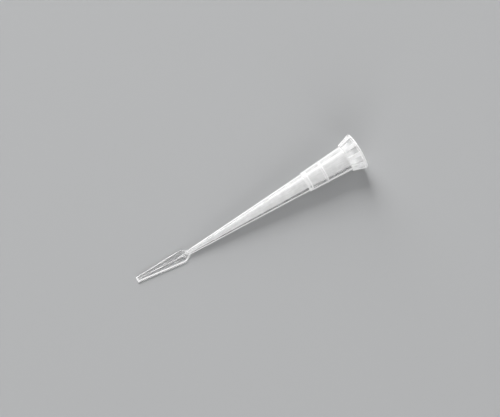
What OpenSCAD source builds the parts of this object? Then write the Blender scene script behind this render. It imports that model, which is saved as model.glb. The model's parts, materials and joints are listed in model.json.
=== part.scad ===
// Flat-ended gel loading pipette tip: one piece of moulded polypropylene.
// A pressed flat blade, a long conical shank, a wider barrel with the nozzle
// seat in it, and a flared collar with ribs under its lip. Millimetres.
// It lies on the XY plane on its blade and its rim, with its mouth towards +X.
// The origin is at the middle of the underside of the box around it.

/* [Blade] */
// Length of the flat blade, from its end to the round neck
blade_l = 13.85; // [9:0.05:20]
// Width of the blade at its end
blade_end_w = 1.3; // [1:0.05:2.4]
// Width of the blade at its shoulders
blade_wide_w = 3.2; // [2.5:0.05:4]
// Thickness of the blade
blade_t = 0.4; // [0.3:0.02:0.6]
// Length of the shoulders, over which the neck widens into the blade
shoulder_l = 2.5; // [1.5:0.1:4]
// Rounding of the two corners at the blade's end
end_round = 0.18; // [0.05:0.01:0.4]
// Sideways set of the blade from the tip's axis, in degrees
blade_set = 2.3; // [0:0.1:4]
// Sideways offset of the blade from the neck, past its shoulders
blade_off = 0.1; // [0:0.05:0.3]
// Length over which the round neck fades into the flat of the blade
fade_l = 4.1; // [3:0.1:6]

/* [Channel] */
// Width of the flat channel along the blade
channel_w = 0.3; // [0.2:0.01:0.5]
// Height of the flat channel along the blade
channel_h = 0.16; // [0.1:0.01:0.2]

/* [Shank] */
// Length of the conical shank, from the neck to the outer step
shank_l = 29.85; // [20:0.05:45]
// Outer diameter of the neck
neck_d = 1.25; // [1.1:0.01:1.6]
// Wall at the neck
neck_wall = 0.36; // [0.25:0.01:0.4]
// Wall at the wide end of the shank
shank_wall = 0.88; // [0.4:0.01:1]
// Height of the step from the shank out to the barrel
step_h = 0.19; // [0.05:0.01:0.4]

/* [Barrel] */
// Length of the barrel, from the outer step to the collar
barrel_l = 10.75; // [9:0.05:16]
// Taper of the barrel, in degrees to each side
barrel_taper = 3.47; // [1:0.01:5]
// Wall of the barrel below the nozzle seat
barrel_wall = 0.44; // [0.3:0.01:0.6]
// Distance of the inner shoulder above the outer step
inner_rise = 0.85; // [0.4:0.05:1.5]

/* [Nozzle seat] */
// Bore of the straight land that grips the pipette's nozzle
seat_d = 4.9; // [4.4:0.05:5.6]
// Length of the straight land
seat_l = 2.5; // [1.5:0.1:3.5]
// Wall around the middle of the land
seat_wall = 0.42; // [0.35:0.01:0.6]
// Distance of the land below the collar
seat_below = 1.7; // [1:0.1:2.5]
// Length of the lead from the stop bead up to the land
lead_l = 1.8; // [0.8:0.1:2]
// Narrowing of the bore over that lead, to each side
lead_h = 0.15; // [0.05:0.01:0.2]
// Length of the stop bead
bead_l = 0.45; // [0.3:0.05:0.8]
// Height of the stop bead above the lead
bead_h = 0.15; // [0.04:0.01:0.15]

/* [Collar] */
// Length of the flared collar, lip included
collar_l = 3.3; // [2.5:0.1:5]
// How far the rim stands out past the barrel's end, to each side
rim_over = 1.3; // [1:0.05:1.8]
// Height of the plain lip around the mouth
lip_h = 0.35; // [0.2:0.01:0.6]
// Width of the lip's end face
lip_w = 0.75; // [0.6:0.01:0.9]
// Wall of the skirt between the ribs, under the lip
skirt_wall = 0.35; // [0.25:0.01:0.45]
// Height of the step where the skirt starts
skirt_step = 0.08; // [0.02:0.01:0.2]
// Number of ribs around the skirt
rib_n = 10; // [6:1:14]
// Width of a rib, in degrees around the axis
rib_deg = 15; // [8:1:22]
// Height of a rib above the barrel where the collar starts
rib_h = 0.31; // [0.25:0.01:0.5]
// Turn of the ribs from the blade's flat, in degrees
rib_turn = -8; // [-18:1:18]

/* [Hidden] */
$fn = 120;

// Gap between the underside of the neck and the plane that the tip lies on
neck_lift = 0.03;
// How far cuts and joints run into each other
lap = 0.2;
// Steps in each easing curve of the blade's outline
ease_n = 12;
// Radius of the point in which the neck fades out inside the blade
fade_r = 0.06;
// Rise of the ribs' ends short of the rim, so that the lip stays a plain ring
rib_back = 0.02;

// Heights along the axis, from the neck
ins_z = shank_l + inner_rise;
collar_z = shank_l + barrel_l;
body_l = collar_z + collar_l;
lip_z = body_l - lip_h;
land_top_z = collar_z - seat_below;
land_z = land_top_z - seat_l;
bead_z = land_z - lead_l;

// Radii, worked out from the nozzle seat outwards
neck_r = neck_d / 2;
seat_r = seat_d / 2;
barrel_slope = tan(barrel_taper);
function barrel_r(z) = seat_r + seat_wall + barrel_slope * (z - land_z - seat_l / 2);
shank_r = barrel_r(shank_l) - step_h;
rim_r = barrel_r(collar_z) + rim_over;
mouth_r = rim_r - lip_w;
throat_r = barrel_r(collar_z) - seat_wall;
skirt_r = mouth_r + skirt_wall;
lead_r = seat_r - lead_h;
bead_r = lead_r - bead_h;
mouth_slope = (mouth_r - throat_r) / collar_l;

// How the tip lies: the lip's lower edge and the blade's underside are on the plane
neck_z = neck_r + neck_lift;
lie = atan2(rim_r, lip_z) - asin(neck_z / norm([rim_r, lip_z]));
reach_x = body_l * cos(lie) + rim_r * sin(lie);
blade_reach = blade_l * cos(blade_set) + (blade_end_w / 2 + blade_off) * sin(blade_set);
neck_x = (blade_reach - reach_x) / 2;

// The channel leaves the neck's bore as a cone and ends inside the flat channel
cone_drop = neck_z - blade_t / 2;
cone_l = norm([fade_l, cone_drop]);
cone_r = neck_r - neck_wall - 0.03;
cone_end_r = channel_h * 0.4;

// From 0 to 1 and level at both ends
function ease(f) = (1 - cos(180 * f)) / 2;

// Half of the blade's width at a distance t from the neck
function half_w(t) =
    t < shoulder_l
        ? neck_r * 0.8 + (blade_wide_w / 2 - neck_r * 0.8) * ease(t / shoulder_l)
        : blade_wide_w / 2
            + (blade_end_w - blade_wide_w) / 2 * (t - shoulder_l) / (blade_l - shoulder_l);

// Where the middle of the blade runs at a distance t from the neck
function middle(t) = blade_off * ease(min(t / shoulder_l, 1));

// One long edge of the blade's outline, from the neck to its rounded corner,
// on the side that the blade is offset to (1) or on the other (-1)
function blade_edge(side) = [
    for (i = [0 : ease_n])
        let (t = shoulder_l * i / ease_n)
        [t, middle(t) + side * half_w(t)],
    for (i = [1 : ease_n / 2])
        let (a = 90 - 180 * i / ease_n)
        [
            blade_l - end_round + end_round * cos(a),
            blade_off + side * (half_w(blade_l) - end_round + end_round * sin(a))
        ]
];

module along_body() {
    translate([neck_x, 0, neck_z]) rotate([0, 90 - lie, 0]) children();
}

module along_blade() {
    translate([neck_x, 0, 0]) rotate([0, 0, 180 - blade_set]) children();
}

// Outside of everything that is round about the axis
module body_outside() {
    rotate_extrude()
        polygon([
            [0, -fade_l],
            [fade_r, -fade_l],
            [neck_r, 0],
            [shank_r, shank_l],
            [barrel_r(shank_l), shank_l],
            [barrel_r(collar_z), collar_z],
            [barrel_r(collar_z) + skirt_step, collar_z],
            [skirt_r, lip_z],
            [rim_r, lip_z],
            [rim_r, body_l],
            [0, body_l]
        ]);
}

// Bore from the neck to the mouth, with the inner shoulder, the bead and the seat
module body_bore() {
    rotate_extrude()
        polygon([
            [0, 0],
            [neck_r - neck_wall, 0],
            [shank_r - shank_wall, ins_z],
            [barrel_r(ins_z) - barrel_wall, ins_z],
            [barrel_r(bead_z - bead_l) - barrel_wall, bead_z - bead_l],
            [bead_r, bead_z - bead_l],
            [bead_r, bead_z],
            [lead_r, bead_z],
            [seat_r, land_z],
            [seat_r, land_top_z],
            [throat_r, collar_z],
            [mouth_r, body_l],
            [mouth_r + mouth_slope, body_l + 1],
            [0, body_l + 1]
        ]);
}

// One rib, from the collar's start to just inside the lip
module rib() {
    rotate([0, 0, -rib_deg / 2])
        rotate_extrude(angle = rib_deg)
            polygon([
                [barrel_r(collar_z) - seat_wall / 2, collar_z],
                [barrel_r(collar_z) + rib_h, collar_z],
                [rim_r - rib_back, lip_z],
                [rim_r - rib_back, lip_z + lip_h / 2],
                [skirt_r - skirt_wall / 2, lip_z + lip_h / 2]
            ]);
}

module ribs() {
    for (i = [0 : rib_n - 1])
        rotate([0, 0, 180 + rib_turn + i * 360 / rib_n]) rib();
}

// The pressed flat, with its underside on the plane
module blade() {
    edge = blade_edge(1);
    other = blade_edge(-1);
    back = [for (i = [len(other) - 1 : -1 : 0]) other[i]];
    linear_extrude(blade_t) polygon(concat(edge, back));
}

// Flat channel along the blade, open at its end
module blade_channel() {
    flat = channel_w - channel_h;
    translate([fade_l - lap, 0, blade_t / 2])
        rotate([90, 0, 90])
            linear_extrude(blade_l - fade_l + 2 * lap) {
                square([flat, channel_h], center = true);
                for (side = [-1, 1])
                    translate([side * flat / 2, 0]) circle(d = channel_h);
            }
}

// Narrowing of the bore from the neck down into the flat channel
module channel_cone() {
    translate([0, 0, neck_z])
        rotate([0, 90 + atan2(cone_drop, fade_l), 0])
            translate([0, 0, -lap])
                cylinder(h = cone_l + lap, r1 = cone_r, r2 = cone_end_r);
}

module pipette_tip() {
    color([0.93, 0.94, 0.94])
        difference() {
            union() {
                along_body() {
                    body_outside();
                    ribs();
                }
                along_blade() blade();
            }
            along_body() body_bore();
            along_blade() {
                channel_cone();
                blade_channel();
            }
        }
}

pipette_tip();
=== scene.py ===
"""Flat-ended gel loading pipette tip in natural polypropylene, on a plain pale floor.

The tip is one moulding, so it is one closed skin: the blade's outside, the shank, the barrel
and the ribbed collar, round the lip, and back along the nozzle seat and the bore to the
blade's slot. Sizes in the classes are millimetres, and everything made is in metres.
"""

import json
import logging
import math
from dataclasses import dataclass, field
from enum import Enum

import bpy
import numpy as np
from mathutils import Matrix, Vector


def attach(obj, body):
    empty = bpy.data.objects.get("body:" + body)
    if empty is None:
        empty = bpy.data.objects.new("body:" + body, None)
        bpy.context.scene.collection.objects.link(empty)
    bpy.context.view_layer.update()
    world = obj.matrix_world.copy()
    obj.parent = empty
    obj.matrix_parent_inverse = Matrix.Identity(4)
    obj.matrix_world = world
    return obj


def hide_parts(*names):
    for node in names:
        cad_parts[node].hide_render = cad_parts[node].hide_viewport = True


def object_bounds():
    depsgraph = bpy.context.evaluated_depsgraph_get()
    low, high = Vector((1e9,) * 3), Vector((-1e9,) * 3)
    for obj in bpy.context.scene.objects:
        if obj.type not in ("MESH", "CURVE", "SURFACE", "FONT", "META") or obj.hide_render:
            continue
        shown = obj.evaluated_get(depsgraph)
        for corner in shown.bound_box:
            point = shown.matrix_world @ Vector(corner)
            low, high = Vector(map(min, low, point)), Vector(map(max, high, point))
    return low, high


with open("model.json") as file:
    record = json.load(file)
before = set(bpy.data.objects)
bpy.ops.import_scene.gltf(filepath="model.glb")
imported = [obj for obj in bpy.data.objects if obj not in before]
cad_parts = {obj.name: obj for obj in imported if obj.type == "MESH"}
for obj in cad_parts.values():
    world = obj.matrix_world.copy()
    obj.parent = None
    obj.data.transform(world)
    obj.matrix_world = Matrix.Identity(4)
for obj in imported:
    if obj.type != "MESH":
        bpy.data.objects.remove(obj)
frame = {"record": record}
CAD_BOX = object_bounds()

LOG = logging.getLogger("tip")
MM = 0.001


# ---------------------------------------------------------------- small tools


def srgb(code: str) -> tuple[float, float, float, float]:
    """Turns an sRGB hex colour to linear.

    Args:
        code: the colour as six hex digits.

    Returns:
        Linear red, green, blue and an alpha of 1.
    """
    parts = np.array([int(code[i : i + 2], 16) for i in (0, 2, 4)]) / 255
    linear = np.where(parts <= 0.04045, parts / 12.92, ((parts + 0.055) / 1.055) ** 2.4)
    return (*map(float, linear), 1.0)


def add_node(tree: bpy.types.NodeTree, kind: str, values: dict | None = None) -> bpy.types.Node:
    """Adds one node with its settings and its incoming links.

    Args:
        tree: the node tree that gets the node.
        kind: the node's class name.
        values: by the name or number of an input, or by a property's name. A value that is
            another node's output is linked, and any other is set.

    Returns:
        The new node.
    """
    node = tree.nodes.new(kind)
    for name, value in (values or {}).items():
        if isinstance(value, bpy.types.NodeSocket):
            tree.links.new(value, node.inputs[name])
        elif isinstance(name, int) or name in node.inputs:
            node.inputs[name].default_value = value
        else:
            setattr(node, name, value)
    return node


# a node's input is fed by another node's output or by a number
Value = bpy.types.NodeSocket | float


class Curve(Enum):
    """How a ramp rises between its ends."""

    STRAIGHT = "LINEAR"
    SMOOTH = "SMOOTHSTEP"


def ramp(
    tree: bpy.types.NodeTree,
    value: Value,
    band: tuple[float, float],
    ends: tuple[float, float],
    curve: Curve = Curve.STRAIGHT,
) -> bpy.types.NodeSocket:
    """Adds a map of a value from a band to two ends, held level outside the band.

    Args:
        tree: the node tree.
        value: what is mapped.
        band: where the change starts and ends.
        ends: the results there.
        curve: how it rises between them.

    Returns:
        The result's socket.
    """
    limits = dict(zip(("From Min", "From Max", "To Min", "To Max"), (*band, *ends)))
    settings = {"interpolation_type": curve.value, **limits, "Value": value}
    return add_node(tree, "ShaderNodeMapRange", settings).outputs[0]


def blend(tree: bpy.types.NodeTree, share: Value, low: Value, high: Value) -> bpy.types.NodeSocket:
    """Adds a mix that is low at a share of 0 and high at 1."""
    values = {"data_type": "FLOAT", "Factor": share, "A": low, "B": high}
    return add_node(tree, "ShaderNodeMix", values).outputs[0]


def reckon(
    tree: bpy.types.NodeTree, operation: str, *terms: Value, clamp: bool = False
) -> bpy.types.NodeSocket:
    """Adds a math node on the given terms, with its result held from 0 to 1 if clamped."""
    values = {"operation": operation, "use_clamp": clamp, **dict(enumerate(terms))}
    return add_node(tree, "ShaderNodeMath", values).outputs[0]


def noise(
    tree: bpy.types.NodeTree,
    place: bpy.types.NodeSocket,
    size_mm: float,
    detail: float,
    roughness: float = 0.5,
) -> bpy.types.NodeSocket:
    """Adds noise with patches of a size in millimetres.

    Args:
        tree: the node tree.
        place: where the noise is read, in metres.
        size_mm: size of the patches.
        detail: number of finer layers.
        roughness: strength of each finer layer against the one before.

    Returns:
        The noise's socket, about a half on average.
    """
    values = {"Scale": 1 / (size_mm * MM), "Detail": detail, "Roughness": roughness, "Vector": place}
    return add_node(tree, "ShaderNodeTexNoise", values).outputs["Fac"]


def new_material(name: str) -> tuple[bpy.types.Material, bpy.types.NodeTree]:
    """Makes a material with an empty node tree."""
    made = bpy.data.materials.new(name)
    made.use_nodes = True
    made.node_tree.nodes.clear()
    return made, made.node_tree


def ease(share: np.ndarray) -> np.ndarray:
    """Half a cosine wave from 0 to 1, level at both ends and flat beyond them."""
    return (1 - np.cos(np.pi * np.clip(share, 0, 1))) / 2


def bell(off: np.ndarray, width: float) -> np.ndarray:
    """exp(-(off / width)^2), which is 1 in the middle and fades on both sides."""
    return np.exp(-((off / width) ** 2))


def softened(line: np.ndarray, cuts: np.ndarray, steps: int = 4) -> np.ndarray:
    """Rounds the inner corners of an open line.

    Each corner B is cut back along both its legs by its own length, to A and C, and becomes
    the curve (1 - t)^2 A + 2 t (1 - t) B + t^2 C, with t from 0 to 1.

    Args:
        line: the points, one row each.
        cuts: how far each inner corner is cut back.
        steps: pieces in each curve.

    Returns:
        The points of the rounded line.
    """
    legs = np.diff(line, axis=0)
    legs /= np.linalg.norm(legs, axis=1, keepdims=True)
    corner = line[1:-1, None]
    before = corner - (legs[:-1] * cuts[:, None])[:, None]
    after = corner + (legs[1:] * cuts[:, None])[:, None]
    t = np.linspace(0, 1, steps + 1)[None, :, None]
    curve = (1 - t) ** 2 * before + 2 * t * (1 - t) * corner + t**2 * after
    return np.vstack([line[:1], curve.reshape(-1, line.shape[1]), line[-1:]])


def leg_parts(line: np.ndarray, longest: float, least: float = 0.08) -> np.ndarray:
    """Counts the parts each leg of a line is split into.

    A leg under the least length stays whole. Another gets its length over the longest part,
    rounded up, and never fewer than four.

    Args:
        line: the points, one row each.
        longest: the longest part.
        least: the shortest leg that is split.

    Returns:
        One whole number for each leg.
    """
    length = np.linalg.norm(np.diff(line, axis=0), axis=1)
    return np.where(length < least, 1, np.maximum(4, np.ceil(length / longest))).astype(int)


def split_legs(line: np.ndarray, parts: np.ndarray) -> np.ndarray:
    """Splits each leg of a line, with the parts shorter towards the leg's ends.

    Point k of n on a leg lies at the share (1 - cos(pi k / n)) / 2 of it, so that a straight
    leg shades as straight right up to the curves at its ends.

    Args:
        line: the points, one row each.
        parts: how many parts each leg gets.

    Returns:
        The points of the split line.
    """
    leg = np.repeat(np.arange(len(parts)), parts)
    step = np.arange(parts.sum()) - np.repeat(np.cumsum(parts) - parts, parts)
    share = (1 - np.cos(np.pi * step / parts[leg])) / 2
    points = line[leg] + (line[leg + 1] - line[leg]) * share[:, None]
    return np.vstack([points, line[-1:]])


def with_stations(line: np.ndarray, stations: np.ndarray) -> np.ndarray:
    """Adds points to the outgoing part of a line, at given distances along its first axis.

    Args:
        line: the points, which go out to the largest distance and come back.
        stations: the distances.

    Returns:
        The points with the new ones among them, each on the leg that it falls on.
    """
    out = line[: int(np.argmax(line[:, 0])) + 1]
    z = np.sort(stations)
    added = np.stack([z, np.interp(z, out[:, 0], out[:, 1])], axis=-1)
    return np.insert(line, np.searchsorted(out[:, 0], z), added, axis=0)


def spread_round_flat(turn: np.ndarray, half_w: np.ndarray, half_h: np.ndarray) -> np.ndarray:
    """Directions that space points evenly round a flat section with full round edges.

    A quarter of the outline is a straight run of half_w - half_h and then a quarter circle of
    half_h. The share of the quarter that a point has covered is the share of the right angle
    that its turn has covered, and its direction is the one from the middle to that point.

    Args:
        turn: the turn from straight up, from -pi to pi.
        half_w: half of the section's width.
        half_h: half of the section's height.

    Returns:
        The direction from straight up for each turn.
    """
    share = 1 - np.abs(np.abs(turn) - np.pi / 2) / (np.pi / 2)
    run = np.maximum(half_w - half_h, 0)
    covered = share * (run + half_h * np.pi / 2)
    bend = np.clip((covered - run) / half_h, 0, np.pi / 2)
    across = np.minimum(covered, run) + half_h * np.sin(bend)
    up = half_h * np.cos(bend) * np.where(np.abs(turn) > np.pi / 2, -1, 1)
    return np.arctan2(np.sign(turn) * across, up)


def flat_round_reach(
    way: np.ndarray, half_w: np.ndarray, half_h: np.ndarray, power: np.ndarray
) -> np.ndarray:
    """Distance from the middle of a flat section to its outline.

    The outline is where (across / half_w)^power + (up / half_h)^power is 1: an ellipse at a
    power of 2, and a bar with soft edges at a high one.

    Args:
        way: the direction from straight up.
        half_w: half of the section's width.
        half_h: half of the section's height.
        power: how square the outline is.

    Returns:
        The distance in each direction.
    """
    across = (np.abs(np.sin(way)) / half_w) ** power
    up = (np.abs(np.cos(way)) / half_h) ** power
    return (across + up) ** (-1 / power)


# ---------------------------------------------------------------- the tip's parts


class Outline(Enum):
    """The two lines that the collar's outside follows."""

    RIB = "over a rib"
    GAP = "between two ribs"


@dataclass(frozen=True)
class Shank:
    """The long cone from the neck to the outer step."""

    length: float = 29.85
    neck_r: float = 0.625
    neck_wall: float = 0.36
    wall: float = 0.88
    step: float = 0.19


@dataclass(frozen=True)
class NozzleSeat:
    """The land that grips the pipette's nozzle, its lead and its stop bead."""

    radius: float = 2.45
    length: float = 2.5
    wall: float = 0.42
    below_collar: float = 1.7
    lead: float = 1.8
    lead_height: float = 0.15
    bead: float = 0.45
    bead_height: float = 0.15


@dataclass(frozen=True)
class Collar:
    """The flared, ribbed collar with the plain lip round the mouth."""

    length: float = 3.3
    over: float = 1.298
    lip_height: float = 0.35
    lip_width: float = 0.75
    skirt_wall: float = 0.35
    skirt_step: float = 0.08
    ribs: int = 10
    rib_angle: float = 15.0
    rib_height: float = 0.31
    rib_turn: float = 8.0
    flank_angle: float = 1.2
    crowd: float = 6.0
    crowd_angle: float = 1.1

    def columns(self, count: int = 22) -> np.ndarray:
        """Turns from straight up at which the skin has its columns.

        They stand closer near a rib's two edges: the spacing is one over a density of 1 plus
        a bell at each edge, added up over the pitch and turned round.

        Args:
            count: columns to each rib.

        Returns:
            The turns in radians, from -pi to pi, in rising order.
        """
        pitch = 360 / self.ribs
        fine = np.linspace(-pitch / 2, pitch / 2, 4001)
        near_edge = bell(np.abs(fine) - self.rib_angle / 2, self.crowd_angle)
        total = np.cumsum(1 + self.crowd * near_edge)
        total = (total - total[0]) / (total[-1] - total[0])
        own = np.interp(np.arange(count) / count, total, fine)
        turns = (own[None] + pitch * np.arange(self.ribs)[:, None]).ravel() + self.rib_turn
        return np.sort(np.radians((turns + 180) % 360 - 180))

    def rib_share(self, turn: np.ndarray) -> np.ndarray:
        """How far the outside has risen from the gap's line to the rib's, from 0 to 1.

        Args:
            turn: the turn from straight up.

        Returns:
            1 on a rib, 0 in a gap, and an eased rise over the flank between them.
        """
        pitch = 360 / self.ribs
        off = np.abs((np.degrees(turn) - self.rib_turn + pitch / 2) % pitch - pitch / 2)
        return ease((self.rib_angle / 2 + self.flank_angle - off) / (2 * self.flank_angle))


@dataclass(frozen=True)
class Blade:
    """The neck's end, pressed flat, with its slot along the middle."""

    length: float = 13.85
    end_width: float = 1.3
    wide_width: float = 3.2
    thickness: float = 0.4
    shoulder: float = 2.5
    set_angle: float = 2.3
    offset: float = 0.1
    fade: float = 4.1
    corner: float = 0.18
    edge: float = 0.04
    root_half: float = 0.5
    root_size: float = 0.8
    root_length: float = 0.9
    flatten_length: float = 2.2
    wedge_r: float = 0.06
    wedge_z: float = 0.31
    slot_width: float = 0.3
    slot_height: float = 0.16
    press_start: float = 0.2
    press_length: float = 2.5
    line_in: float = 0.3
    line_spread: float = 0.17
    faint_line: float = 0.75
    faint_in: float = 0.1
    end_line: float = 0.34

    def stations(self) -> np.ndarray:
        """Distances from the neck of the blade's rows, closer at the shoulders and the end."""
        corner_t = self.length - self.corner
        near = np.linspace(0.12, self.fade + 0.6, 34)
        along = np.linspace(near[-1], corner_t, 20)[1:]
        bend = np.linspace(0, np.pi / 2, 9)[1:]
        return np.concatenate([near, along, corner_t + self.corner * np.sin(bend)])

    def half_width(self, t: np.ndarray) -> np.ndarray:
        """Half of the blade's width at a distance from the neck.

        It eases from the root out to the widest over the shoulders, runs straight to the end,
        and there loses corner - sqrt(corner^2 - depth^2) for its rounded corners.

        Args:
            t: the distance from the neck.

        Returns:
            Half of the width.
        """
        wide, end = self.wide_width / 2, self.end_width / 2
        swell = self.root_half + (wide - self.root_half) * ease(t / self.shoulder)
        run = np.clip((t - self.shoulder) / (self.length - self.shoulder), 0, 1)
        return swell + (end - wide) * run - self.rounded(t, self.corner)

    def rounded(self, t: np.ndarray, radius: float) -> np.ndarray:
        """What a rounding of that radius takes off close to the blade's end."""
        depth = np.clip(t - (self.length - radius), 0, radius)
        return radius - np.sqrt(radius**2 - depth**2)

    def outside(self, t: np.ndarray, turn: np.ndarray, shank: Shank, neck_z: float) -> np.ndarray:
        """Outline of the blade and of the round neck that fades out on it.

        From the blade's middle the flat reaches as far as flat_round_reach, and the fading
        cone as far as the circle of its own radius about its own height. The outline's reach
        is the tenth root of the sum of their tenth powers, which rounds the hollow between
        them, and nothing goes below the underside. All of it moves aside over the shoulders.

        Args:
            t: distances from the neck, as a column.
            turn: turns from straight up, as a row.
            shank: the shank that the neck belongs to.
            neck_z: height of the neck's middle.

        Returns:
            Across and up for each row and turn.
        """
        middle = self.thickness / 2
        grown = self.root_size + (1 - self.root_size) * ease(t / self.root_length)
        half_w = self.half_width(t) * grown
        half_h = (middle - self.rounded(t, self.edge)) * grown
        share = np.clip(t / self.fade, 0, 1)
        cone_r = shank.neck_r + (self.wedge_r - shank.neck_r) * share
        cone_z = neck_z + (self.wedge_z - neck_z) * share - middle
        on_cone = np.arctan2(cone_r * np.sin(turn), cone_z + cone_r * np.cos(turn))
        flatter = ease(t / self.flatten_length)
        way = on_cone + (spread_round_flat(turn, half_w, half_h) - on_cone) * flatter
        flat = flat_round_reach(way, half_w, half_h, 8.0)
        inside = cone_r**2 - (cone_z * np.sin(way)) ** 2
        cone = cone_z * np.cos(way) + np.sqrt(np.maximum(inside, 0))
        reach = (flat**10 + np.maximum(cone, 0) ** 10) ** 0.1
        up = np.maximum(middle + reach * np.cos(way), 0)
        return np.stack([reach * np.sin(way) - self.aside(t), up], axis=-1)

    def aside(self, t: np.ndarray) -> np.ndarray:
        """How far the blade's middle has moved aside at a distance from the neck."""
        return self.offset * ease(t / self.shoulder)

    def pressed(self, t: np.ndarray) -> np.ndarray:
        """How far the plastic is pressed flat and chilled clear, from 0 at the neck to 1."""
        return ease((t - self.press_start) / self.press_length)

    def edge_share(self, t: np.ndarray, outline: np.ndarray) -> np.ndarray:
        """How much white is painted near the blade's edges and its end, from 0 to 1: a painted glow where
        light carried along the blade comes out, for its bright edge lines.

        The side towards which the blade is offset has a broad line a little inside its edge,
        the other a fine faint one that ends at the shoulders. Each is a bell of the distance
        from the edge.

        Args:
            t: distances from the neck, as a column.
            outline: across and up for each row and turn.

        Returns:
            The larger of the line's share and the end's.
        """
        across = outline[..., 0] + self.aside(t)
        depth = self.half_width(t) - np.abs(across)
        broad = bell(depth - self.line_in, self.line_spread) * ease(t / 1.2)
        fine = self.faint_line * bell(depth - self.faint_in, self.faint_in) * ease((t - 1.5) / 3)
        end = ease((self.end_line - (self.length - t)) / 0.15)
        return np.maximum(np.where(across < 0, broad, fine), end)

    def slot(self, t: np.ndarray, turn: np.ndarray, shank: Shank, neck_z: float) -> np.ndarray:
        """Outline of the bore as it narrows from the neck into the flat slot.

        Its half width, half height, height and squareness all ease from the neck's bore to
        the slot over the length in which the neck fades.

        Args:
            t: distances from the neck, as a column.
            turn: turns from straight up, as a row.
            shank: the shank that the neck belongs to.
            neck_z: height of the neck's middle.

        Returns:
            Across and up for each row and turn.
        """
        bore = shank.neck_r - shank.neck_wall
        share = np.clip(t / self.fade, 0, 1)
        half_w = bore + (self.slot_width / 2 - bore) * ease(share)
        half_h = bore + (self.slot_height / 2 - bore) * (0.6 * share + 0.4 * ease(share))
        flat_way = spread_round_flat(turn, half_w, half_h)
        way = turn + (flat_way - turn) * ease(share)
        reach = flat_round_reach(way, half_w, half_h, 2 + 3 * ease(share))
        up = neck_z + (self.thickness / 2 - neck_z) * share + reach * np.cos(way)
        return np.stack([reach * np.sin(way), up], axis=-1)


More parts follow.
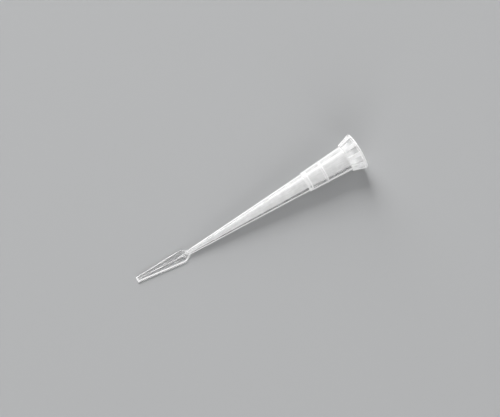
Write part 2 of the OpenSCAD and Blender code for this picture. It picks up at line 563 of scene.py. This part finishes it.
@dataclass(frozen=True)
class Body:
    """Everything that is round about the axis, from the neck to the mouth."""

    shank: Shank = field(default_factory=Shank)
    seat: NozzleSeat = field(default_factory=NozzleSeat)
    collar: Collar = field(default_factory=Collar)
    barrel_length: float = 10.75
    barrel_taper: float = 3.47
    barrel_wall: float = 0.44
    inner_rise: float = 0.85
    edge_reach: float = 0.12
    sharp_angle: float = 15.0
    ring_reach: float = 0.15
    # painted shade: how far the skirt between two ribs is cleared just under the lip
    lip_shade_share: float = 0.95
    gap_start: float = 0.9
    gap_rise: float = 1.2

    @property
    def collar_z(self) -> float:
        """Where the collar starts, along the axis from the neck."""
        return self.shank.length + self.barrel_length

    @property
    def length(self) -> float:
        """Length from the neck to the mouth."""
        return self.collar_z + self.collar.length

    @property
    def land_z(self) -> float:
        """Where the land that grips the nozzle starts."""
        return self.collar_z - self.seat.below_collar - self.seat.length

    @property
    def rim_r(self) -> float:
        """Radius of the rim."""
        return self.barrel_r(self.collar_z) + self.collar.over

    def barrel_r(self, z: float) -> float:
        """Outer radius of the barrel at a distance from the neck."""
        middle = self.land_z + self.seat.length / 2
        slope = math.tan(math.radians(self.barrel_taper))
        return self.seat.radius + self.seat.wall + slope * (z - middle)

    def corners(self, over: Outline) -> tuple[np.ndarray, np.ndarray]:
        """The body's whole section, outside from the neck to the mouth and back inside.

        Args:
            over: whether the line runs over a rib or between two.

        Returns:
            The corners as distance from the neck and radius, and each inner corner's cut.
        """
        s, n, c = self.shank, self.seat, self.collar
        lip_z, mouth_r = self.length - c.lip_height, self.rim_r - c.lip_width
        end_r = self.barrel_r(self.collar_z)
        rib = over is Outline.RIB
        start_r = end_r + (c.rib_height if rib else c.skirt_step)
        under_r = self.rim_r - 0.02 if rib else mouth_r + c.skirt_wall
        in_z = s.length + self.inner_rise
        bead_z = self.land_z - n.lead
        lead_r = n.radius - n.lead_height
        below_r = self.barrel_r(bead_z - n.bead) - self.barrel_wall
        step_r = self.barrel_r(s.length)
        rows = [
            (0, s.neck_r, 0),
            (s.length, step_r - s.step, 0.07),
            (s.length, step_r, 0.07),
            (self.collar_z, end_r, 0.035),
            (self.collar_z, start_r, 0.12 if rib else 0.035),
            (lip_z, under_r, 0.008 if rib else 0.1),
            (lip_z, self.rim_r, 0.008 if rib else 0.06),
            (self.length, self.rim_r, 0.1),
            (self.length, mouth_r, 0.14),
            (self.collar_z, end_r - n.wall, 0.3),
            (self.land_z + n.length, n.radius, 0.3),
            (self.land_z, n.radius, 0.3),
            (bead_z, lead_r, 0.03),
            (bead_z, lead_r - n.bead_height, 0.04),
            (bead_z - n.bead, lead_r - n.bead_height, 0.015),
            (bead_z - n.bead, below_r, 0.015),
            (in_z, self.barrel_r(in_z) - self.barrel_wall, 0.12),
            (in_z, step_r - s.step - s.wall, 0.12),
            (0, s.neck_r - s.neck_wall, 0),
        ]
        table = np.array(rows, float)
        return table[:, :2], table[1:-1, 2]

    def section_lines(self) -> dict[Outline, np.ndarray]:
        """The two rounded section lines, split alike so that they can be blended."""
        lines = {over: softened(*self.corners(over)) for over in Outline}
        parts = np.max([leg_parts(line, 0.7) for line in lines.values()], axis=0)
        places = np.array([z for z, _ in self.ring_places()])[:, None]
        extra = (places + self.ring_reach * np.linspace(-2, 2, 9)).ravel()
        return {over: with_stations(split_legs(line, parts), extra) for over, line in lines.items()}

    def wall(self, z: np.ndarray) -> np.ndarray:
        """Thickness of the wall at a distance from the neck.

        Args:
            z: the distances.

        Returns:
            The gap line's outer radius less its inner one.
        """
        line = self.corners(Outline.GAP)[0]
        outer, inner = line[:8], line[8:][::-1]
        out_r, in_r = (
            np.interp(z, side[:, 0] + np.arange(len(side)) * 1e-6, side[:, 1])
            for side in (outer, inner)
        )
        return out_r - in_r

    def slimness(self, z: np.ndarray) -> np.ndarray:
        """How near the middle the bore's edge shows in the shank, against its wide end.

        The edge shows where a look passes the axis at the bore's radius. With k for the bore's
        radius over the outer one, Layer Weight's Facing is 1 - sqrt(1 - k^2) there. The share
        is that value over its value at the shank's wide end, and at most 1.

        Args:
            z: distances from the neck.

        Returns:
            The share, from about a half at the neck to 1.
        """
        s = self.shank
        places = np.append(np.ravel(z), s.length - 0.1)
        outer = np.interp(places, [0, s.length], [s.neck_r, self.barrel_r(s.length) - s.step])
        bore = 1 - self.wall(places) / outer
        facing = 1 - np.sqrt(1 - bore**2)
        return np.clip(facing[:-1] / facing[-1], 0, 1).reshape(np.shape(z))

    def in_bore(self, section: np.ndarray) -> np.ndarray:
        """1 from the mouth's inner edge down to the neck's bore, and 0 outside.

        Args:
            section: the section's points as distance and radius, in order.

        Returns:
            One number for each point.
        """
        mouth = np.array([self.length, self.rim_r - self.collar.lip_width])
        nearest = np.argmin(np.linalg.norm(section - mouth, axis=-1), axis=0)
        return (np.arange(len(section))[:, None] > nearest).astype(float)

    def ring_places(self) -> tuple[tuple[float, float], ...]:
        """Distances from the neck of the rings in the bore, each with its strength."""
        shoulder = self.shank.length + self.inner_rise
        bead = self.land_z - self.seat.lead
        return ((shoulder, 1.0), (bead - self.seat.bead, 0.5), (bead, 1.0))

    def rings(self, z: np.ndarray) -> np.ndarray:
        """How much the wall outside the rings in the bore is whitened, from 0 to 1: partly for the
        thicker wall there and partly as a painted highlight for the bright lines that the rings catch.

        Each ring gives its strength times a bell of the distance from it, and the strongest
        counts: the inner shoulder and the top of the stop bead in full, and the bead's lower
        end by half.

        Args:
            z: distances from the neck.

        Returns:
            The share of the wall's clearness that is lost.
        """
        return np.max([share * bell(z - at, self.ring_reach) for at, share in self.ring_places()], axis=0)

    def in_collar(self, z: np.ndarray, rib: np.ndarray) -> np.ndarray:
        """How milky the collar is, from 0 below it to 1 on its ribs and its lip.

        It rises over a tenth of a millimetre at the collar's start. Between two ribs, just under the lip,
        the skirt is made clear by the gap's share: painted shade, so that it shows dark where the
        overhanging lip shades it.

        Args:
            z: distances from the neck.
            rib: 1 on a rib and 0 in a gap, at each turn.

        Returns:
            One number for each point.
        """
        lip_z = self.length - self.collar.lip_height
        up = z - self.collar_z
        near_lip = ease((up - self.gap_start) / self.gap_rise) * ease((lip_z - z) / 0.12)
        return ease(up / 0.1) * (1 - self.lip_shade_share * (1 - rib) * near_lip)

    def edge_share(self, section: np.ndarray) -> np.ndarray:
        """How near each point of a section line is to a sharp corner, from 0 to 1.

        A corner counts by the turn between the legs before and after it, over the sharp
        angle, and fades with the distance along the line as a bell. The strongest decides.

        Args:
            section: distances and radii along one line.

        Returns:
            0 on a straight stretch and 1 in a tight curve, as a column.
        """
        legs = np.diff(section, axis=0)
        way = np.arctan2(legs[:, 1], legs[:, 0])
        bend = np.abs((np.diff(way) + np.pi) % (2 * np.pi) - np.pi)
        sharp = np.clip(np.concatenate([[0], bend, [0]]) / math.radians(self.sharp_angle), 0, 1)
        along = np.concatenate([[0], np.cumsum(np.linalg.norm(legs, axis=-1))])
        away = bell(along[:, None] - along[None], self.edge_reach)
        return np.max(sharp[None] * away, axis=1)[:, None]


@dataclass(frozen=True)
class Lie:
    """How the tip lies, from the nozzle seat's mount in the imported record."""

    neck: np.ndarray
    axis: np.ndarray

    @classmethod
    def from_record(cls, record: dict, body: Body) -> "Lie":
        """Finds the neck by going back along the axis from the seat's middle.

        Args:
            record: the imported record.
            body: the round body, which says how far the seat is from the neck.

        Returns:
            The neck's middle in millimetres, and the axis towards the mouth.
        """
        seat = next(m for m in record["mounts"] if m["name"] == "nozzle_seat")
        axis = np.array(seat["axis"], float)
        axis /= np.linalg.norm(axis)
        middle = np.array(seat["pos_m"], float) / MM
        return cls(middle - axis * (body.land_z + body.seat.length / 2), axis)

    def about_axis(self, line: np.ndarray, turn: np.ndarray) -> np.ndarray:
        """Carries section points round the axis.

        A point at the distance z and the radius r stands at neck + z axis + r (cos(turn) up +
        sin(turn) side), where up is square to the axis and side is +Y.

        Args:
            line: distances and radii, with rows first and turns second.
            turn: the turns from straight up.

        Returns:
            The places in millimetres.
        """
        up = np.array([-self.axis[2], 0, self.axis[0]])
        side = np.array([0, 1.0, 0])
        round_it = np.cos(turn)[..., None] * up + np.sin(turn)[..., None] * side
        return self.neck + line[..., :1] * self.axis + line[..., 1:] * round_it

    def on_floor(self, t: np.ndarray, points: np.ndarray, set_angle: float) -> np.ndarray:
        """Puts the blade's sections on the floor.

        A section at the distance t stands at the neck, moved by t along the blade, by its
        across over the blade, and by its up from the floor.

        Args:
            t: distances from the neck, as a column.
            points: across and up for each row and turn.
            set_angle: the blade's sideways set in degrees.

        Returns:
            The places in millimetres.
        """
        a = math.radians(set_angle)
        along = np.array([-math.cos(a), math.sin(a), 0])
        across = np.array([math.sin(a), math.cos(a), 0])
        start = np.array([self.neck[0], self.neck[1], 0])
        up = np.array([0, 0, 1.0])
        return start + t[..., None] * along + points[..., :1] * across + points[..., 1:] * up


# ---------------------------------------------------------------- finishes


@dataclass(frozen=True)
class NaturalPolypropylene:
    """Natural polypropylene homopolymer, injection moulded in a polished mould.

    Without pigment its crystals scatter light, so a wall looks milky and the milkier the
    thicker it is, while the blade, pressed thin and chilled, stays nearly clear. The mould
    leaves it glossy, with faint flow lines along it and a light haze. Each clear_ value is the
    share of light that goes through, each _milk value the share of that which haze takes
    away, and each _band a stretch of Layer Weight's Facing or of a noise. The white at the
    edges and on the side that faces the lamps is painted light, and over the rings it is partly so.
    """

    milk: str = "FAFAFA"
    ior: float = 1.49
    gloss: float = 0.05
    haze_gloss: float = 0.13
    bore_gloss: float = 0.3
    gloss_band: tuple[float, float] = (0.3, 0.7)
    thin_mm: float = 0.4
    thick_mm: float = 0.9
    overlap_mm: float = 1.05
    clear_outside: float = 0.97
    clear_overlap: float = 0.5
    clear_collar: float = 0.12
    clear_thin: float = 0.2
    clear_thick: float = 0.15
    clear_turned: float = 0.95
    clear_blade: float = 0.95
    turned_band: tuple[float, float] = (0.2, 0.34)
    # painted highlight: how much white is painted at sharp corners, over the rings and along the blade's
    # edges
    edge_glint_white: float = 1.0
    slant_milk: float = 0.92
    slant_band: tuple[float, float] = (0.44, 0.52)
    face_milk: float = 0.62
    face_band: tuple[float, float] = (0.18, 0.3)
    # painted light: how much whiter the side that faces the lamps is made
    lit_side_white: float = 0.6
    cloud_mm: float = 1.6
    cloud: float = 0.2
    cloud_band: tuple[float, float] = (0.4, 0.65)
    flow_mm: float = 0.3
    flow_stretch: float = 20.0
    flow_depth_mm: float = 0.004
    streak: float = 0.12
    streak_band: tuple[float, float] = (0.35, 0.65)
    grain_mm: float = 0.12
    grain_depth_mm: float = 0.002

    def material(self) -> bpy.types.Material:
        """Makes the material.

        Returns:
            The material, which reads all of the skin's attributes.
        """
        made, tree = new_material("natural_polypropylene_moulded")
        place = add_node(tree, "ShaderNodeTexCoord").outputs["Object"]
        names = ("wall_mm", "pressed", "bore", "edge", "collar", "side", "slim")
        wall, pressed, in_bore, edge, collar, side, slim = (
            add_node(tree, "ShaderNodeAttribute", {"attribute_name": name}).outputs["Fac"]
            for name in names
        )
        # cloudy crystal haze, a millimetre or two across
        cloud = noise(tree, place, self.cloud_mm, 3.0, 0.55)
        # flow lines from the gate at the rim down to the blade
        stretch = {"Scale": (1 / self.flow_stretch, 1.0, 1.0), "Vector": place}
        drawn = add_node(tree, "ShaderNodeMapping", stretch).outputs[0]
        flow = noise(tree, drawn, self.flow_mm, 2.0)
        grain = noise(tree, place, self.grain_mm, 2.0)
        # a look that goes past the bore meets other haze than one that goes through it
        facing = add_node(tree, "ShaderNodeLayerWeight", {"Blend": 0.5}).outputs["Facing"]
        slant = reckon(tree, "DIVIDE", facing, slim)
        # outside: the shank's wall is clear, and milkier where the barrel overlaps its end
        walls = (self.thick_mm, self.overlap_mm)
        shell = ramp(tree, wall, walls, (self.clear_outside, self.clear_overlap))
        shell = blend(tree, collar, shell, self.clear_collar)
        # past the critical angle light is turned back at the bore before it meets the haze
        walls = (self.thin_mm, self.thick_mm)
        by_wall = ramp(tree, wall, walls, (self.clear_thin, self.clear_thick))
        turned = ramp(tree, slant, self.turned_band, (0.0, 1.0), Curve.SMOOTH)
        lining = blend(tree, turned, by_wall, self.clear_turned)
        clear = blend(tree, in_bore, shell, lining)
        streaks = ramp(tree, flow, self.streak_band, (-self.streak, self.streak))
        clear = reckon(tree, "ADD", streaks, clear)
        patches = ramp(tree, cloud, self.cloud_band, (0.0, 1.0))
        clear = reckon(tree, "MULTIPLY_ADD", patches, -self.cloud, clear)
        clear = blend(tree, pressed, clear, self.clear_blade)
        # painted highlight: near sharp corners and along the blade's edges and end the wall turns opaque
        # white for the bright lines that light caught in the plastic gives; over the rings this is partly
        # for the thicker wall there
        clear = reckon(tree, "MULTIPLY_ADD", edge, -self.edge_glint_white, clear, clamp=True)
        # a slanting look goes through more of the wall, so it meets more haze
        deep = ramp(tree, slant, self.slant_band, (1.0, 1 - self.slant_milk), Curve.SMOOTH)
        # looked at squarely, the haze in front of the bore is lit from both sides
        square = ramp(tree, slant, self.face_band, (1 - self.face_milk, 1.0), Curve.SMOOTH)
        # painted light: the side that faces the lamps at the back is made milkier, so it renders whiter,
        # as if lit through its wall
        lit_side = reckon(tree, "MULTIPLY_ADD", side, -self.lit_side_white, 1.0)
        left = reckon(tree, "MULTIPLY", reckon(tree, "MULTIPLY", deep, square), lit_side)
        # none of these three reaches the bore's own surface or the blade
        left = blend(tree, reckon(tree, "MAXIMUM", in_bore, pressed), left, 1.0)
        rough = ramp(tree, cloud, self.gloss_band, (self.gloss, self.haze_gloss))
        fine = {"Strength": 0.2, "Distance": self.grain_depth_mm * MM, "Height": grain}
        fine_bump = add_node(tree, "ShaderNodeBump", fine).outputs[0]
        lines = {"Strength": 0.3, "Distance": self.flow_depth_mm * MM, "Height": flow}
        bump = add_node(tree, "ShaderNodeBump", {**lines, "Normal": fine_bump}).outputs[0]
        shader = add_node(
            tree,
            "ShaderNodeBsdfPrincipled",
            {
                "Base Color": srgb(self.milk),
                "IOR": self.ior,
                "Roughness": blend(tree, in_bore, rough, self.bore_gloss),
                "Transmission Weight": reckon(tree, "MULTIPLY", clear, left),
                "Normal": bump,
            },
        )
        add_node(tree, "ShaderNodeOutputMaterial", {"Surface": shader.outputs[0]})
        return made


@dataclass(frozen=True)
class PaleBoard:
    """Plain matt board, painted a pale grey and rolled, so that it has a faint tooth."""

    colour: str = "B6B7B8"
    roughness: float = 0.85
    specular: float = 0.15
    tooth_mm: float = 0.6
    tooth_depth_mm: float = 0.02

    def material(self) -> bpy.types.Material:
        """Makes the floor's material."""
        made, tree = new_material("pale_board_rolled")
        place = add_node(tree, "ShaderNodeTexCoord").outputs["Object"]
        tooth = noise(tree, place, self.tooth_mm, 3.0)
        rolled = {"Strength": 0.1, "Distance": self.tooth_depth_mm * MM, "Height": tooth}
        shader = add_node(
            tree,
            "ShaderNodeBsdfPrincipled",
            {
                "Base Color": srgb(self.colour),
                "Roughness": self.roughness,
                "Specular IOR Level": self.specular,
                "Normal": add_node(tree, "ShaderNodeBump", rolled).outputs[0],
            },
        )
        add_node(tree, "ShaderNodeOutputMaterial", {"Surface": shader.outputs[0]})
        return made


# ---------------------------------------------------------------- the tip itself


@dataclass
class PipetteTip:
    """The whole moulding as one closed skin."""

    body: Body = field(default_factory=Body)
    blade: Blade = field(default_factory=Blade)
    finish: NaturalPolypropylene = field(default_factory=NaturalPolypropylene)
    slot_pressed: float = 0.2
    # painted light: the turn of the side that faces the lamps, which the finish makes whiter
    lit_side: float = 73.0
    side_start: float = 0.4
    side_rise: float = 0.45

    def skin(self, lie: Lie) -> tuple[np.ndarray, dict[str, np.ndarray]]:
        """Works out the skin's grid.

        Its rows run from the blade's end along the outside, over the lip, back through the
        bore and the slot, and across the end face to the first row. Its columns run round.
        In the body a point is the gap line's, moved to the rib line's by the rib's share.

        Args:
            lie: how the tip lies.

        Returns:
            The places in millimetres, and what the finish reads at each point: the wall in
            millimetres, and from 0 to 1 how far it is pressed flat, whether it is in the
            bore, how near it is to an edge or a ring, where white is painted for the light
            that the plastic catches and lets out there, how milky the collar is, less where
            the skirt is cleared under the lip as painted shade, how far it is on the side
            that faces the lamps, which is painted whiter, and how slim the bore is for the
            outside.
        """
        shank, neck_z = self.body.shank, float(lie.neck[2])
        turn = self.body.collar.columns()[None]
        rib = self.body.collar.rib_share(turn)[..., None]
        lines = self.body.section_lines()
        gap = lines[Outline.GAP][:, None]
        section = gap + (lines[Outline.RIB][:, None] - gap) * rib
        t = self.blade.stations()[:, None]
        outer = self.blade.outside(t, turn, shank, neck_z)
        inner = self.blade.slot(t, turn, shank, neck_z)
        share = np.array([0.08, 0.5, 0.92])[:, None, None]
        face = inner[-1] + (outer[-1] - inner[-1]) * share
        end = np.full((3, 1), self.blade.length)
        set_angle = self.blade.set_angle
        grid = np.concatenate(
            [
                lie.on_floor(t, outer, set_angle)[::-1],
                lie.about_axis(section, turn),
                lie.on_floor(t, inner, set_angle),
                lie.on_floor(end, face, set_angle),
            ]
        )
        z, thick = section[:, :1, 0], self.blade.thickness
        pressed, slim = self.blade.pressed(t), self.body.slimness(z)
        in_bore = self.body.in_bore(section[:, :1])
        rings = self.body.rings(z) * (1 - in_bore)
        # painted highlight: white at the body's sharp corners, and over the rings partly for their
        # thicker wall
        body_edge_glint = np.maximum(self.body.edge_share(lines[Outline.GAP]), rings)
        # painted glow: white along the blade's edges and at its end, for the light that the blade carries
        # out there
        blade_edge_glow = self.blade.edge_share(t, outer)[::-1]
        collar = self.body.in_collar(section[..., 0], rib[..., 0])
        none, all_end = t * 0, end * 0 + 1
        rows = {
            "wall_mm": [none + thick, self.body.wall(z), none + thick, all_end * thick],
            "pressed": [pressed[::-1], z * 0, self.slot_pressed * pressed, all_end],
            "bore": [none, in_bore, none + 1, all_end * 0],
            "edge": [blade_edge_glow, body_edge_glint, none, all_end],
            "collar": [none, collar, none, all_end * 0],
            "slim": [none + slim[0], slim, none + slim[0], all_end * slim[0]],
        }
        even = np.ones((1, turn.size))
        read = {name: np.concatenate([b * even for b in v]) for name, v in rows.items()}
        off = np.cos(turn - math.radians(self.lit_side))
        # painted light: "side" is 1 on the side that faces the lamps at the back, which the finish paints
        # whiter
        read["side"] = ease((off - self.side_start) / self.side_rise) * np.ones((len(grid), 1))
        return grid, read

    def build(self, lie: Lie) -> bpy.types.Object:
        """Makes the skin's object.

        Args:
            lie: how the tip lies.

        Returns:
            The object, at the origin, with its place in its mesh.
        """
        grid, read = self.skin(lie)
        mesh = closed_grid_mesh("pipette_tip_skin", grid * MM)
        for name, values in read.items():
            made = mesh.attributes.new(name, "FLOAT", "POINT")
            made.data.foreach_set("value", values.ravel().astype(np.float32))
        skin = bpy.data.objects.new("tip_skin", mesh)
        bpy.context.scene.collection.objects.link(skin)
        return skin

    def dress(self, skin: bpy.types.Object) -> None:
        """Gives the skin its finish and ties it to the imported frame."""
        skin.data.materials.append(self.finish.material())
        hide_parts("pipette_tip")
        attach(skin, "root")


def closed_grid_mesh(name: str, grid: np.ndarray) -> bpy.types.Mesh:
    """Makes a mesh of a grid that closes on itself both ways.

    Each face joins a point, the one in the next row, that one's neighbour in the next column
    and the point's own neighbour, with the last row and column followed by the first.

    Args:
        name: the mesh's name.
        grid: places in metres, with rows first and columns second.

    Returns:
        The mesh, shaded smooth.
    """
    rows, columns = grid.shape[:2]
    own = np.arange(rows * columns).reshape(rows, columns)
    down, across = np.roll(own, -1, axis=0), np.roll(own, -1, axis=1)
    faces = np.stack([own, down, np.roll(down, -1, axis=1), across], axis=-1)
    mesh = bpy.data.meshes.new(name)
    mesh.from_pydata(grid.reshape(-1, 3), [], faces.reshape(-1, 4).tolist())
    mesh.polygons.foreach_set("use_smooth", np.ones(rows * columns, bool))
    mesh.update()
    return mesh


# ---------------------------------------------------------------- the stage


@dataclass(frozen=True)
class Floor:
    """The plain floor that the tip lies on."""

    width: float = 1600.0
    gap: float = 0.02
    finish: PaleBoard = field(default_factory=PaleBoard)

    def build(self, level: float) -> bpy.types.Object:
        """Makes the floor.

        Args:
            level: height of the lowest point of the tip, in metres.

        Returns:
            The floor's object.
        """
        half = self.width / 2 * MM
        z = level - self.gap * MM
        corners = [(-half, -half, z), (half, -half, z), (half, half, z), (-half, half, z)]
        mesh = bpy.data.meshes.new("floor")
        mesh.from_pydata(corners, [], [(0, 1, 2, 3)])
        mesh.materials.append(self.finish.material())
        floor = bpy.data.objects.new("floor", mesh)
        bpy.context.scene.collection.objects.link(floor)
        return floor


@dataclass(frozen=True)
class SoftBox:
    """A square lamp behind cloth, aimed at the tip."""

    name: str
    towards: tuple[float, float, float]
    width: float
    level: float
    distance: float = 1800.0

    def build(self, aim: Vector) -> bpy.types.Object:
        """Makes the lamp.

        A lamp of P watts at the distance d lights a surface that faces it to P / (pi d)^2 of
        full white, and level is that share.

        Args:
            aim: the point that it lights, in metres.

        Returns:
            The lamp's object.
        """
        back = Vector(self.towards).normalized()
        lamp = bpy.data.lights.new(self.name, "AREA")
        lamp.shape = "SQUARE"
        lamp.size = self.width * MM
        lamp.energy = self.level * (math.pi * self.distance * MM) ** 2
        made = bpy.data.objects.new(self.name, lamp)
        made.location = aim + back * self.distance * MM
        made.rotation_mode = "QUATERNION"
        made.rotation_quaternion = (-back).to_track_quat("-Z", "Y")
        bpy.context.scene.collection.objects.link(made)
        return made


@dataclass(frozen=True)
class Studio:
    """The world's even light, the pale backdrop that looks see, and the view transform."""

    colour: str = "FFFFFF"
    level: float = 0.08
    backdrop: float = 0.45

    def build(self) -> None:
        """Sets the world and the plain view transform."""
        scene = bpy.context.scene
        world = bpy.data.worlds.new("studio")
        world.use_nodes = True
        tree = world.node_tree
        tree.nodes.clear()
        path = add_node(tree, "ShaderNodeLightPath").outputs
        seen = reckon(tree, "ADD", path["Is Camera Ray"], path["Is Glossy Ray"])
        seen = reckon(tree, "ADD", seen, path["Is Transmission Ray"], clamp=True)
        strength = ramp(tree, seen, (0.0, 1.0), (self.level, self.backdrop))
        values = {"Color": srgb(self.colour), "Strength": strength}
        light = add_node(tree, "ShaderNodeBackground", values)
        add_node(tree, "ShaderNodeOutputWorld", {"Surface": light.outputs[0]})
        scene.world = world
        scene.view_settings.view_transform = "Standard"


@dataclass(frozen=True)
class TipCamera:
    """The camera, high above the tip and a little to the left of its side."""

    lens: float = 100.0
    azimuth: float = -31.05
    elevation: float = 70.5
    distance: float = 312.8
    aim_off: tuple[float, float, float] = (0.974, 1.446, -2.327)

    def build(self, centre: Vector) -> bpy.types.Object:
        """Makes the camera and sets it as the scene's.

        Args:
            centre: the middle of the tip's box, in metres.

        Returns:
            The camera's object.
        """
        a, e = math.radians(self.azimuth), math.radians(self.elevation)
        back = Vector((math.sin(a) * math.cos(e), -math.cos(a) * math.cos(e), math.sin(e)))
        data = bpy.data.cameras.new("camera")
        data.lens = self.lens
        data.clip_start, data.clip_end = 0.01, 10.0
        made = bpy.data.objects.new("camera", data)
        made.location = centre + (Vector(self.aim_off) + back * self.distance) * MM
        made.rotation_mode = "QUATERNION"
        made.rotation_quaternion = (-back).to_track_quat("-Z", "Y")
        bpy.context.scene.collection.objects.link(made)
        bpy.context.scene.camera = made
        return made


def main() -> None:
    """Builds the tip, the floor, the light and the camera."""
    logging.basicConfig(level=logging.INFO, format="%(name)s: %(message)s")
    low, high = CAD_BOX
    centre = (low + high) / 2
    tip = PipetteTip()
    lie = Lie.from_record(frame["record"], tip.body)
    skin = tip.build(lie)
    tip.dress(skin)
    LOG.info("%s: %d faces", skin.name, len(skin.data.polygons))
    floor = Floor().build(low.z)
    LOG.info("%s at %.5f m", floor.name, floor.data.vertices[0].co.z)
    Studio().build()
    lamps = (
        SoftBox("key", (0.05, 0.72, 0.72), width=1000.0, level=0.66),
        SoftBox("low_back", (0.05, 0.95, 0.28), width=1040.0, level=0.42),
        SoftBox("overhead", (0.05, 0.1, 1.0), width=1500.0, level=0.14),
        SoftBox("front_fill", (-0.45, -0.85, 0.24), width=1600.0, level=0.8),
        SoftBox("mouth_fill", (0.85, -0.4, 0.35), width=1400.0, level=0.25),
    )
    for box in lamps:
        LOG.info("%s lamp: %.2f W", box.name, box.build(centre).data.energy)
    camera = TipCamera().build(centre)
    LOG.info("%s at %s", camera.name, tuple(round(x, 4) for x in camera.location))


if __name__ == "__main__":
    main()
